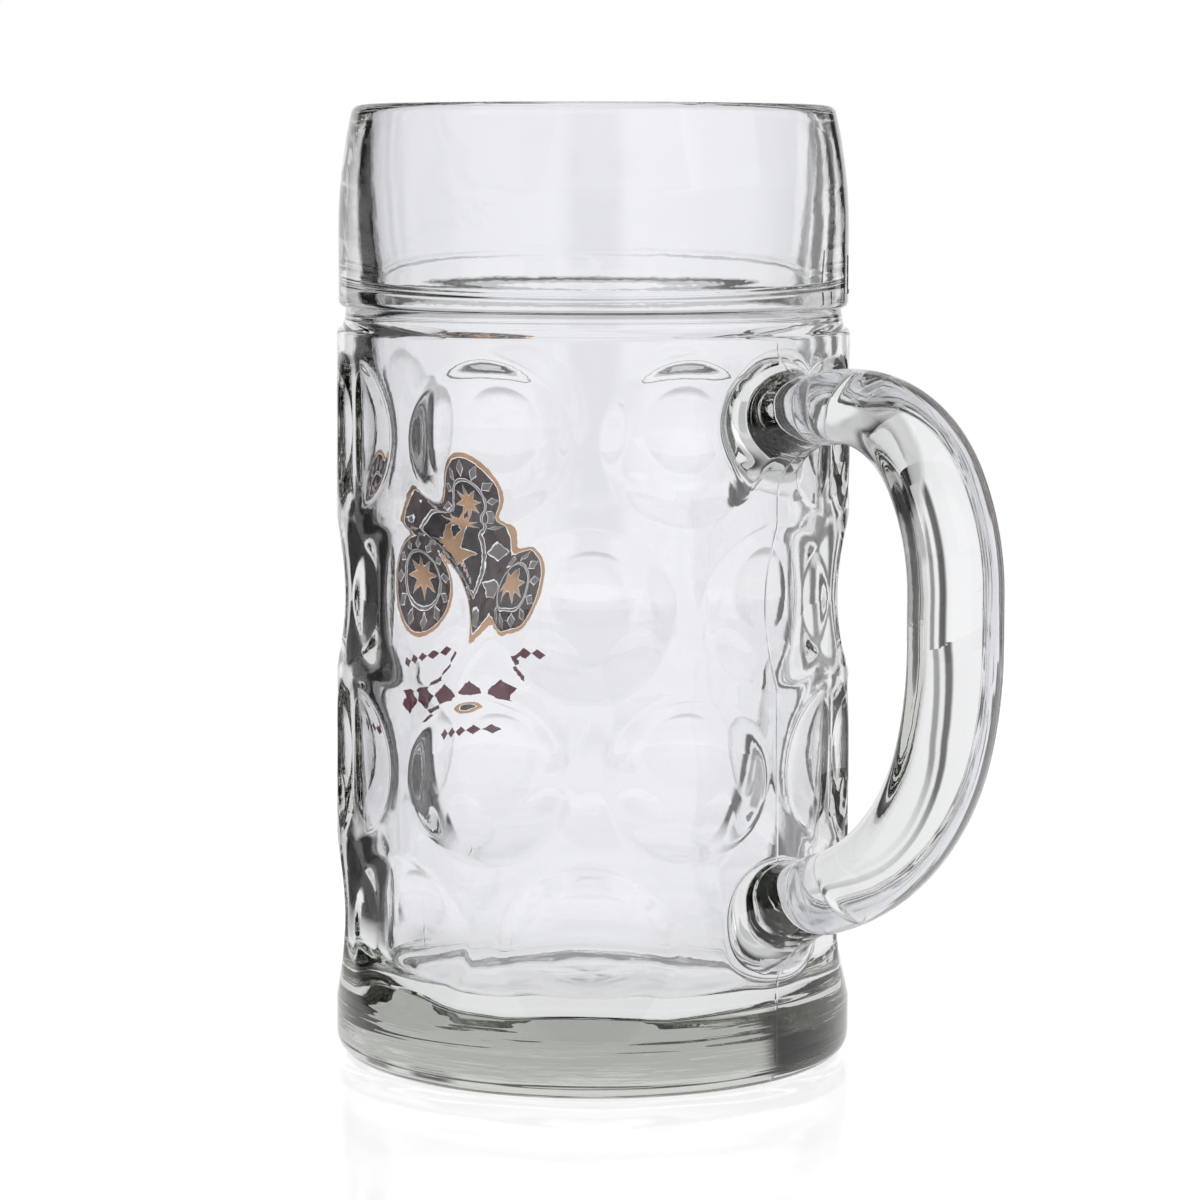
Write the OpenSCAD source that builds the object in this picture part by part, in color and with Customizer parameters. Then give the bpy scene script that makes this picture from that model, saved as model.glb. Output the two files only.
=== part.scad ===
// Dimpled one-litre glass beer mug.
// The foot stands on z = 0, the axis of the body is Z and the handle points along +X.

/* [Body] */
// Overall height, from the standing face to the top of the lip
mug_h = 200; // [170:1:260]
// Outer diameter of the plain foot
foot_d = 109.2; // [96:0.2:130]
// Outer diameter of the dimpled wall just below the groove
shoulder_d = 107.8; // [96:0.2:130]
// Outer diameter of the plain drinking band
band_d = 107; // [96:0.2:130]
// Height of the plain foot below the dimples
foot_h = 14.5; // [6:0.5:40]
// Rounding of the foot's lower edge
foot_edge_r = 4.5; // [1:0.5:6]
// Height of the plain drinking band, from its lower lip to the top
band_h = 42; // [20:1:60]

/* [Groove below the band] */
// Depth of the groove, measured from the shoulder
groove_depth = 1.7; // [0.6:0.1:3]
// Height of the groove's flat floor
groove_h = 1.9; // [1:0.1:5]
// Radius of the cove that runs from the groove out to the shoulder
cove_r = 3.2; // [2:0.1:6]
// Rounding of the band's lower lip
band_lip_r = 1.5; // [0.5:0.1:2]

/* [Rim] */
// Height over which the band curves in towards the rim
rim_curve_h = 24; // [10:1:30]
// How far the band's outside curves in below the bead
rim_inset = 2.7; // [0.5:0.1:4]
// Thickness of the rounded drinking lip
lip_t = 4.2; // [3:0.1:6]

/* [Inside] */
// Wall thickness between the dimples
wall_t = 7.4; // [5.5:0.1:8.5]
// Wall thickness of the drinking band at its widest
band_wall_t = 5.8; // [4.6:0.1:8]
// Wall thickness at the middle of a dimple
dimple_wall_t = 5.4; // [3.5:0.1:6.5]
// Thickness of the glass bottom at the middle
bottom_t = 13.5; // [6:0.5:25]
// Rounding between the bottom and the inner wall
floor_r = 12; // [4:0.5:20]
// How far the ring inside the groove stands in from the band's inner wall
ring_depth = 2; // [0.5:0.1:3]
// Half the height of that ring
ring_half_h = 7; // [4:0.5:12]

/* [Dimples] */
// Height of one dimple
dimple_h = 33; // [16:1:44]
// Depth of one dimple at its middle
dimple_depth = 3; // [1:0.1:4]
// Least distance from row to row
row_pitch_min = 30; // [20:1:60]
// Least width of plain glass between two neighbours
land_min = 4; // [1:0.5:12]

/* [Handle] */
// Distance from the mug's axis to the outside of the grip
handle_reach = 109.8; // [100:0.2:130]
// Thickness of the handle at its upper end, from the palm side to the finger side
grip_t = 14.8; // [11:0.2:20]
// Thickness of the handle at its lower end
heel_t = 16.6; // [11:0.2:20]
// Width of the grip
grip_w = 20.8; // [16:0.2:30]
// Height of the top of the handle's centreline
crown_z = 140.2; // [128:0.2:150]
// Radius of the tight bend at the top
crown_r = 25.7; // [16:0.1:28]
// Radius of the bend between the top and the straight stretch
brow_r = 46.6; // [35:0.1:55]
// Length of the straight stretch
grip_l = 10.4; // [2:0.2:20]
// Radius of the slow bend below the straight stretch
belly_r = 76; // [60:1:90]
// Radius of the bend at the bottom
heel_r = 47; // [40:0.5:50]

/* [Handle pads] */
// Distance from the mug's axis to the seams between handle and pads
seam_reach = 66.6; // [63:0.1:70]
// Radius of the hollow curve in which a pad widens towards the body
pad_flare_r = 15; // [13:0.5:22]
// Outer radius of a pad where it meets the body
pad_r = 14.5; // [12:0.5:17]
// How far a pad is sunk into the wall
pad_sink = 4.4; // [2.5:0.1:5]

/* [Fill mark] */
// Height of the strokes of the fill mark
mark_h = 8; // [3:0.5:12]
// Width of one stroke
mark_stroke = 0.8; // [0.4:0.1:1.5]
// Distance from stroke to stroke
mark_pitch = 5.1; // [2:0.1:8]
// Length of the level line beside the strokes
mark_line_l = 12; // [6:0.5:20]
// Height of the one-litre level above the standing face
level_z = 161; // [160:0.5:166]
// Thickness of the fired enamel
enamel_t = 0.2; // [0.1:0.05:0.4]

/* [Decoration] */
// Radius of the round ornament
medal_r = 21.5; // [14:0.5:24]
// Width of its outer rim
medal_rim = 1.6; // [0.8:0.1:3]
// Radius of its inner disc
medal_core_r = 10.4; // [6:0.2:12]
// Gap between two colours
colour_gap = 0.35; // [0.2:0.05:0.8]
// Thickness of the printed colour
print_t = 0.2; // [0.1:0.05:0.4]
// Height of the middle of the round ornament
medal_z = 102; // [95:1:110]
// Length of one lozenge in the border below it
lozenge_l = 7.6; // [4:0.2:9]
// Height of one lozenge in the border below it
lozenge_h = 5; // [3:0.2:8]
// Drop from the middle of the ornament to the border below it
border_drop = 31; // [26:0.5:36]

/* [Hidden] */

// How far a cutting shape runs past what it cuts
overrun = 1;
// Angle through which the bend above the straight stretch turns
brow_angle = 28;
// Angle through which the slow bend below it turns
belly_angle = 15;
// Slope of the handle's upper and lower ends, both falling towards the body
upper_slope = 10;
lower_slope = 20;
// Azimuth of the fill mark's first stroke, seen from above with the handle at 0
mark_azimuth = 32;
// Azimuth of the decoration, and the half angle within which dimples lie under it
print_azimuth = 180;
print_reach = 60;
// Petals of the star in the inner disc and lozenges in the ring round it
star_points = 8;
ring_lozenges = 12;
// Reach of the star's hollows and points as shares of its disc's radius
star_inner_share = 0.36;
star_outer_share = 0.84;
// Length of a ring lozenge as a share of the ring's width, and its height as a share of its length
ring_share = 0.8;
slim_share = 0.62;
// Lozenges in the border
border_count = 5;
// Sides of the handle's section, and how full its oval is: 2 is an ellipse
oval_sides = 28;
oval_power = 2.25;

$fn = 64;

// Foot, shoulder and band radii, and the heights where they hold
foot_r = foot_d / 2;
shoulder_r = shoulder_d / 2;
band_r = band_d / 2;
groove_r = shoulder_r - groove_depth;
band_z = mug_h - band_h;
groove_z = band_z - groove_h;
cove_angle = acos(1 - groove_depth / cove_r);
shoulder_z = groove_z - cove_r * sin(cove_angle);
lip_r = lip_t / 2;
rim_r = band_r - rim_inset;

// Radius of the outer wall at a height, between the foot and the shoulder
function wall_r(z) = foot_r + (shoulder_r - foot_r) * (z - foot_h) / (shoulder_z - foot_h);

// Dimple field: rows and columns that fit between the foot and the groove
field_h = shoulder_z - foot_h - land_min;
rows = max(1, floor((field_h - dimple_h) / row_pitch_min) + 1);
row_pitch = rows > 1 ? (field_h - dimple_h) / (rows - 1) : 0;
dimple_r = (pow(dimple_h / 2, 2) + pow(dimple_depth, 2)) / (2 * dimple_depth);
dimple_chord = 2 * sqrt(pow(foot_r, 2) - pow(foot_r - dimple_depth, 2));
columns = floor(PI * shoulder_d / (dimple_chord + land_min));
column_pitch = 360 / columns;
row_z = [for (k = [0:rows - 1]) foot_h + dimple_h / 2 + k * row_pitch];

// Points along an arc in the profile plane
function arc(x, z, r, from, to, steps = 8) =
    [for (i = [0:steps]) let (a = from + (to - from) * i / steps) [x + r * cos(a), z + r * sin(a)]];

// Points along a smooth S from one place in the profile plane to another
function ease(x0, z0, x1, z1, steps = 8) =
    [for (i = [0:steps]) let (t = i / steps) [x0 + (x1 - x0) * (1 - cos(180 * t)) / 2, z0 + (z1 - z0) * t]];

// The band's outside curves in to the rim along a parabola
rim_z = mug_h - lip_r;
rim_curve = [
    for (i = [0:8])
        let (t = i / 8)
            [band_r - rim_inset * t * t, rim_z - rim_curve_h * (1 - t)]
];

outer_profile = concat(
    [[0, 0]],
    arc(foot_r - foot_edge_r, foot_edge_r, foot_edge_r, -90, 0),
    [[foot_r, foot_h], [shoulder_r, shoulder_z]],
    arc(groove_r + cove_r, groove_z, cove_r, 180 + cove_angle, 180, 5),
    arc(band_r - band_lip_r, band_z + band_lip_r, band_lip_r, -90, 0, 5),
    rim_curve,
    arc(rim_r - lip_r, rim_z, lip_r, 0, 90),
    [[0, mug_h]]
);

// Inside: the bottom, the wall, the ring behind the groove and the band up to the lip
inner_low_r = foot_r - wall_t;
inner_high_r = shoulder_r - wall_t;
band_inner_r = band_r - band_wall_t;
ring_z = band_z + ring_half_h / 2;
ring_r = band_inner_r - ring_depth;
ring_top_z = ring_z + ring_half_h;
ring_foot_z = ring_z - ring_half_h;
lip_inner_r = rim_r - lip_t;

inner_profile = concat(
    [[0, bottom_t]],
    arc(inner_low_r - floor_r, bottom_t + floor_r, floor_r, -90, 0),
    ease(inner_high_r, ring_foot_z, ring_r, ring_z),
    ease(ring_r, ring_z, band_inner_r, ring_top_z),
    ease(band_inner_r, rim_z - rim_curve_h / 2, lip_inner_r, rim_z),
    arc(rim_r - lip_r, rim_z, lip_r, 180, 90),
    [[rim_r - lip_r, mug_h + overrun], [0, mug_h + overrun]]
);

// Handle centreline, in the plane through the mug's axis
grip_x = handle_reach - (grip_t + heel_t) / 4;
brow_z = crown_z - crown_r * (1 - sin(brow_angle)) - brow_r * sin(brow_angle);
belly_z = brow_z - grip_l;
crown_x = grip_x - (brow_r - crown_r) * (1 - cos(brow_angle)) - crown_r;
heel_x = grip_x - (belly_r - heel_r) * (1 - cos(belly_angle)) - heel_r;
heel_z = belly_z - (belly_r - heel_r) * sin(belly_angle);

// Where the upper and lower bends end, and the straight run from there to each seam
upper_end = [crown_x - crown_r * sin(upper_slope), crown_z - crown_r * (1 - cos(upper_slope))];
lower_end = [heel_x + heel_r * sin(lower_slope), heel_z - heel_r * cos(lower_slope)];
upper_run = (upper_end.x - seam_reach) / cos(upper_slope);
lower_run = (lower_end.x - seam_reach) / cos(lower_slope);
upper_seam = [seam_reach, upper_end.y - upper_run * sin(upper_slope)];
lower_seam = [seam_reach, lower_end.y - lower_run * sin(lower_slope)];

// The centreline as rows of [x, z, direction of the palm side], from the upper seam to the lower one
function bend(center, radius, from, to, steps) =
    [for (i = [1:steps]) let (a = from + (to - from) * i / steps)
        [center.x + radius * cos(a), center.y + radius * sin(a), a]];

centreline = concat(
    [[upper_seam.x, upper_seam.y, 90 + upper_slope], [upper_end.x, upper_end.y, 90 + upper_slope]],
    bend([crown_x, crown_z - crown_r], crown_r, 90 + upper_slope, brow_angle, 14),
    bend([grip_x - brow_r, brow_z], brow_r, brow_angle, 0, 6),
    [[grip_x, belly_z, 0]],
    bend([grip_x - belly_r, belly_z], belly_r, 0, -belly_angle, 4),
    bend([heel_x, heel_z], heel_r, -belly_angle, lower_slope - 90, 12),
    [[lower_seam.x, lower_seam.y, lower_slope - 90]]
);

// Thickness of the handle at row i of the centreline
function thickness(i) = grip_t + (heel_t - grip_t) * i / (len(centreline) - 1);

// Corner j of the handle's section at row i: an oval a little fuller than an ellipse
function fuller(v) = sign(v) * pow(abs(v), 2 / oval_power);
function grip_corner(i, j) =
    let (
        row = centreline[i],
        turn = 360 * j / oval_sides,
        out = thickness(i) / 2 * fuller(cos(turn)),
        across = grip_w / 2 * fuller(sin(turn))
    )
        [row.x + out * cos(row.z), across, row.y + out * sin(row.z)];

module handle() {
    last = len(centreline) - 1;
    points = [for (i = [0:last]) for (j = [0:oval_sides - 1]) grip_corner(i, j)];
    sides = [
        for (i = [0:last - 1])
            for (j = [0:oval_sides - 1])
                let (k = (j + 1) % oval_sides, a = i * oval_sides, b = a + oval_sides)
                    each [[a + j, b + j, b + k], [a + j, b + k, a + k]]
    ];
    upper_cap = [for (j = [0:oval_sides - 1]) j];
    lower_cap = [for (j = [oval_sides - 1:-1:0]) last * oval_sides + j];
    color([0.86, 0.89, 0.88, 0.5])
        polyhedron(points = points, faces = concat(sides, [upper_cap, lower_cap]));
}

// Half outline of a pad: it leaves the seam as thick as the handle and widens in a hollow curve
pad_l = seam_reach - shoulder_r + pad_sink;
pad_turn = asin(min(1, pad_l / pad_flare_r));
function pad_half(t) = concat(
    [[0, 0]],
    [
        for (i = [0:10])
            let (a = pad_turn * i / 10)
                [t / 2 + pad_flare_r * (1 - cos(a)), pad_flare_r * sin(a)]
    ],
    [[0, pad_l]]
);

// One pad of the body, from its seam towards the wall
module pad(seam, slope, t) {
    side = (grip_w - t) / 2;
    translate([seam.x, 0, seam.y])
        rotate([0, -90 - slope, 0])
            intersection() {
                union() {
                    for (y = [-side, side])
                        translate([0, y, 0])
                            rotate_extrude()
                                polygon(pad_half(t));
                    rotate([90, 0, 0])
                        linear_extrude(height = 2 * side, center = true)
                            union() {
                                polygon(pad_half(t));
                                mirror([1, 0])
                                    polygon(pad_half(t));
                            }
                }
                translate([0, 0, -overrun])
                    cylinder(r = pad_r, h = pad_l + 2 * overrun);
            }
}

// True where a pad takes the place of a dimple
function under_pad(angle, z) =
    abs(foot_r * sin(angle)) < pad_r / 2 && cos(angle) > 0
    && min(abs(z - upper_seam.y), abs(z - lower_seam.y)) < pad_r;

// Every dimple as a level bar across the wall; extra makes the bars thicker, for the inside.
// Only dimples within a half angle of the decoration are cut when near is less than 180.
module dimple_bars(extra, near = 180) {
    for (k = [0:rows - 1])
        for (i = [0:columns - 1]) {
            angle = column_pitch * (i + (k % 2) / 2);
            reach = wall_r(row_z[k]) - dimple_depth + dimple_r;
            if (!under_pad(angle, row_z[k]) && abs(angle - print_azimuth) <= near)
                rotate([0, 0, angle])
                    translate([reach, 0, row_z[k]])
                        rotate([90, 0, 0])
                            cylinder(r = dimple_r + extra, h = dimple_chord + 2 * overrun, center = true);
        }
}

// Outside of the blown vessel; grow makes it larger all round
module outside(grow, near = 180) {
    difference() {
        rotate_extrude()
            intersection() {
                translate([grow, 0])
                    polygon(concat(outer_profile, [[-grow, mug_h], [-grow, 0]]));
                square([foot_r + shoulder_r + grow, mug_h]);
            }
        dimple_bars(-grow, near);
    }
}

module glass_body() {
    color([0.88, 0.91, 0.9, 0.45])
        difference() {
            union() {
                outside(0);
                pad(upper_seam, upper_slope, grip_t);
                pad(lower_seam, lower_slope, heel_t);
            }
            difference() {
                rotate_extrude()
                    polygon(inner_profile);
                dimple_bars(dimple_wall_t);
            }
        }
}

// A patch of enamel on the plain band: start angle, width, foot height and height
module band_patch(angle, width, z, height) {
    rotate([0, 0, angle])
        rotate_extrude(angle = width / band_r * 180 / PI)
            translate([band_r, z])
                square([enamel_t, height]);
}

module fill_mark() {
    stroke_step = mark_pitch / band_r * 180 / PI;
    color([0.08, 0.08, 0.09])
        union() {
            band_patch(mark_azimuth, mark_stroke, level_z, mark_h);
            band_patch(mark_azimuth + stroke_step, mark_stroke, level_z, mark_h);
            band_patch(mark_azimuth + 2 * stroke_step, mark_line_l, level_z, mark_stroke);
        }
}

// Lays a flat pattern on the outside wall, as a skin of printed colour
module printed() {
    intersection() {
        difference() {
            outside(print_t, print_reach);
            outside(0, print_reach);
        }
        rotate([0, 0, print_azimuth])
            translate([0, 0, medal_z])
                rotate([90, 0, 90])
                    linear_extrude(height = foot_r + shoulder_r)
                        children();
    }
}

// A lozenge of a given length and height
module lozenge(length, height) {
    polygon([[length / 2, 0], [0, height / 2], [-length / 2, 0], [0, -height / 2]]);
}

// Flat ring between two radii
module ring(outer, inner) {
    difference() {
        circle(r = outer);
        circle(r = inner);
    }
}

// The lozenges of the ornament's ring, each grown by a gap
module ring_pattern(gap) {
    inner = medal_core_r + medal_rim;
    outer = medal_r - medal_rim;
    for (i = [0:ring_lozenges - 1])
        rotate(360 / ring_lozenges * i)
            translate([(inner + outer) / 2, 0])
                lozenge((outer - inner) * ring_share + 2 * gap, (outer - inner) * ring_share * slim_share + 2 * gap);
}

// Star of the inner disc, grown by a gap
module star(gap) {
    inner = medal_core_r * star_inner_share + gap;
    outer = medal_core_r * star_outer_share + gap;
    half = 180 / star_points;
    polygon([
        for (i = [0:2 * star_points - 1])
            let (r = i % 2 == 0 ? outer : inner)
                [r * cos(half * i), r * sin(half * i)]
    ]);
}

module print_gold() {
    color([0.72, 0.48, 0.2])
        printed() {
            union() {
                ring(medal_r, medal_r - medal_rim);
                star(0);
            }
        }
}

module print_brown() {
    color([0.26, 0.17, 0.15])
        printed() {
            difference() {
                ring(medal_r - medal_rim - colour_gap, medal_core_r + medal_rim);
                ring_pattern(colour_gap);
            }
        }
}

module print_grey() {
    color([0.55, 0.53, 0.5])
        printed() {
            union() {
                ring_pattern(0);
                ring(medal_core_r + medal_rim - colour_gap, medal_core_r + colour_gap);
            }
        }
}

module print_black() {
    color([0.1, 0.08, 0.08])
        printed() {
            difference() {
                circle(r = medal_core_r);
                star(colour_gap);
            }
        }
}

module print_red() {
    color([0.55, 0.12, 0.2])
        printed() {
            for (i = [0:border_count - 1])
                translate([(i - (border_count - 1) / 2) * (lozenge_l + colour_gap), -border_drop])
                    lozenge(lozenge_l, lozenge_h);
        }
}

glass_body();
handle();
fill_mark();
print_gold();
print_brown();
print_grey();
print_black();
print_red();
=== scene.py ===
"""Looks of a dimpled one-litre beer mug in clear glass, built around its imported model.

Sizes are in millimetres in the classes and are turned to metres when a mesh is made.
Azimuth 0 is the handle's side (+X), and it grows towards +Y.
"""

import logging
import math
from collections.abc import Iterable
from dataclasses import dataclass, field
from enum import Enum

import bpy
import numpy as np
from bpy.types import Material, Node, NodeSocket, NodeTree, Object, World
from mathutils import Matrix, Vector


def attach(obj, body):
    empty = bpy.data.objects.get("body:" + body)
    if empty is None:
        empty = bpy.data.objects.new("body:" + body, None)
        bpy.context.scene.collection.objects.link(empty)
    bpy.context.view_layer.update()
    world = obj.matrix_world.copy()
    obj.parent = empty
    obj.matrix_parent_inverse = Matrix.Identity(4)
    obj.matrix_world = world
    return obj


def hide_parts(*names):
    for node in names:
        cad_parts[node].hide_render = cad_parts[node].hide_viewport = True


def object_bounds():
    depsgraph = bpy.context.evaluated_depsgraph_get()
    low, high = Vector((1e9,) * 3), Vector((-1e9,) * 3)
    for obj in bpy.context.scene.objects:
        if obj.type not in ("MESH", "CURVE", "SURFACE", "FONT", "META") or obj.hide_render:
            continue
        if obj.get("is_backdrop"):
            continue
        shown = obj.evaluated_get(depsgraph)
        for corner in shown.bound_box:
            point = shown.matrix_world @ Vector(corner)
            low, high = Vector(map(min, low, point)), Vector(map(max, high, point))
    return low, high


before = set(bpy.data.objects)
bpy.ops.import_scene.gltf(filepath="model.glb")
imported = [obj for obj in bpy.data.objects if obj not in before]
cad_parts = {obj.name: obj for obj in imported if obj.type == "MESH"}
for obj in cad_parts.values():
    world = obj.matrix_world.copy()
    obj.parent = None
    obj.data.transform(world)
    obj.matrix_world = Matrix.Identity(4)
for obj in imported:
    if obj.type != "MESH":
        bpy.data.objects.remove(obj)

LOG = logging.getLogger("mug")
MM = 0.001
BODY = "root"
SIDEWAYS = np.array([0.0, 1.0, 0.0])
WHITE = (1, 1, 1, 1)

Stops = tuple[tuple[float, float], ...]


def corners(box: tuple) -> list[list[float]]:
    """Turns a box of two corners into plain lists of numbers.

    Args:
        box: lowest and highest corner.

    Returns:
        The two corners as lists.
    """
    return [[float(value) for value in corner] for corner in box]


CAD_BOX = corners(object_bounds())


def linear(hex_colour: str) -> tuple[float, float, float, float]:
    """Turns an sRGB hex colour into a linear colour.

    Args:
        hex_colour: six hex digits, such as "8a4f2b".

    Returns:
        Red, green, blue and an alpha of one.
    """
    parts = [int(hex_colour[i:i + 2], 16) / 255 for i in (0, 2, 4)]
    return (*[p / 12.92 if p <= 0.04045 else ((p + 0.055) / 1.055) ** 2.4 for p in parts], 1.0)


def add_node(
    tree: NodeTree, kind: str, inputs: dict | None = None, **settings: object,
) -> Node:
    """Adds a node with its settings and the links that come into it.

    Args:
        tree: node tree that takes the node.
        kind: name of the node type, without the word in front that all of them share.
        inputs: input name or index to a plain value, an output, or a node for its first output.
        **settings: properties of the node itself.

    Returns:
        The new node.
    """
    node = tree.nodes.new("ShaderNode" + kind)
    for name, value in settings.items():
        setattr(node, name, value)
    for name, value in (inputs or {}).items():
        if isinstance(value, Node):
            value = value.outputs[0]
        if isinstance(value, NodeSocket):
            tree.links.new(value, node.inputs[name])
        else:
            node.inputs[name].default_value = value
    return node


def empty_tree(owner: Material | World) -> NodeTree:
    """Clears the node tree of a material or world and gives it back."""
    owner.use_nodes = True
    owner.node_tree.nodes.clear()
    return owner.node_tree


def smooth_min(a: np.ndarray, b: np.ndarray, width: float) -> np.ndarray:
    """Takes the smaller of two surfaces and rounds the edge where they meet.

    Args:
        a: first surface.
        b: second surface.
        width: difference of the two over which the edge is rounded.

    Returns:
        The rounded minimum.
    """
    near = np.maximum(width - np.abs(a - b), 0) / width
    return np.minimum(a, b) - near * near * width / 4


def ease(t: np.ndarray) -> np.ndarray:
    """Gives a smooth S between 0 and 1."""
    return (1 - np.cos(np.pi * t)) / 2


def arc(
    x: float, z: float, radius: float, start: float, end: float, steps: int,
) -> list[tuple[float, float]]:
    """Lists the points of an arc in the profile plane, angles in degrees."""
    angles = np.radians(np.linspace(start, end, steps + 1))
    return [(x + radius * math.cos(a), z + radius * math.sin(a)) for a in angles]


def full_turn(count: int) -> np.ndarray:
    """Divides a full turn into equal steps, in radians."""
    return 2 * math.pi * np.arange(count) / count


def upright(r: np.ndarray, azimuth: np.ndarray, z: np.ndarray) -> np.ndarray:
    """Gives rows of x, y, z from radius, azimuth and height."""
    return np.stack([r * np.cos(azimuth), r * np.sin(azimuth), z], -1)


def oval(turn: np.ndarray, wide: float, high: float, power: float) -> tuple[np.ndarray, np.ndarray]:
    """Gives the places across and up on an oval.

    Args:
        turn: angle of each point.
        wide: half of its width.
        high: half of its height.
        power: two for an ellipse, more for a fuller oval.

    Returns:
        The place across and the place up of each point.
    """
    across, up = np.cos(turn), np.sin(turn)
    return (
        wide * np.sign(across) * np.abs(across) ** (2 / power),
        high * np.sign(up) * np.abs(up) ** (2 / power),
    )


@dataclass
class Skin:
    """Points and faces of one piece while it is being made, in millimetres."""

    points: list[np.ndarray] = field(default_factory=list)
    faces: list[tuple[int, ...]] = field(default_factory=list)
    hard: set[int] = field(default_factory=set)
    count: int = 0

    def add(self, points: np.ndarray) -> np.ndarray:
        """Adds points.

        Args:
            points: rows of x, y, z.

        Returns:
            Their indices.
        """
        points = np.asarray(points, float).reshape(-1, 3)
        self.points.append(points)
        self.count += len(points)
        return np.arange(self.count - len(points), self.count)

    def weave(self, low: np.ndarray, high: np.ndarray, closed: bool = True) -> None:
        """Joins two rows of points with faces. One row may have twice as many points as the other.

        Args:
            low: indices of the first row.
            high: indices of the next row.
            closed: whether the rows close on themselves.
        """
        low, high = [int(i) for i in low], [int(i) for i in high]
        if closed:
            low, high = low + low[:1], high + high[:1]
        for i in range(min(len(low), len(high)) - 1):
            if len(low) == len(high):
                self.faces.append((low[i], low[i + 1], high[i + 1], high[i]))
            elif len(high) > len(low):
                a, b, c = high[2 * i:2 * i + 3]
                self.faces += [(low[i], b, a), (low[i], low[i + 1], b), (low[i + 1], c, b)]
            else:
                a, b, c = low[2 * i:2 * i + 3]
                self.faces += [(a, b, high[i]), (b, high[i + 1], high[i]), (b, c, high[i + 1])]

    def stack(self, rings: Iterable[np.ndarray], last: np.ndarray | None = None) -> np.ndarray:
        """Adds closed rings one after another, each joined to the one before.

        Args:
            rings: points of each ring.
            last: indices of a row that the first ring is joined to.

        Returns:
            Indices of the last ring.
        """
        for ring in rings:
            row = self.add(ring)
            if last is not None:
                self.weave(last, row)
            last = row
        return last

    def fan(self, ring: np.ndarray, centre: np.ndarray, outward: bool) -> None:
        """Closes a ring with triangles to a centre point.

        Args:
            ring: indices of the ring.
            centre: the centre point.
            outward: whether the ring runs counter-clockwise seen from outside.
        """
        (middle,) = self.add(centre)
        ring = [int(i) for i in ring]
        for a, b in zip(ring, ring[1:] + ring[:1]):
            self.faces.append((a, b, int(middle)) if outward else (b, a, int(middle)))

    def harden(self, row: Iterable[int]) -> None:
        """Marks points so that an edge between two of them stays sharp."""
        self.hard.update(int(i) for i in row)

    def piece(self, name: str, material: Material) -> Object:
        """Makes the object.

        Args:
            name: name of the piece.
            material: its material.

        Returns:
            The object, smooth but for the edges between two hard points.
        """
        mesh = bpy.data.meshes.new(name)
        mesh.from_pydata((np.concatenate(self.points) * MM).tolist(), [], self.faces)
        mesh.update()
        mesh.validate()
        mesh.shade_smooth()
        if self.hard:
            sharp = [e.vertices[0] in self.hard and e.vertices[1] in self.hard for e in mesh.edges]
            mark = mesh.attributes.new("sharp_edge", "BOOLEAN", "EDGE")
            mark.data.foreach_set("value", sharp)
        mesh.materials.append(material)
        piece = bpy.data.objects.new(name, mesh)
        bpy.context.scene.collection.objects.link(piece)
        return piece


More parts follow.
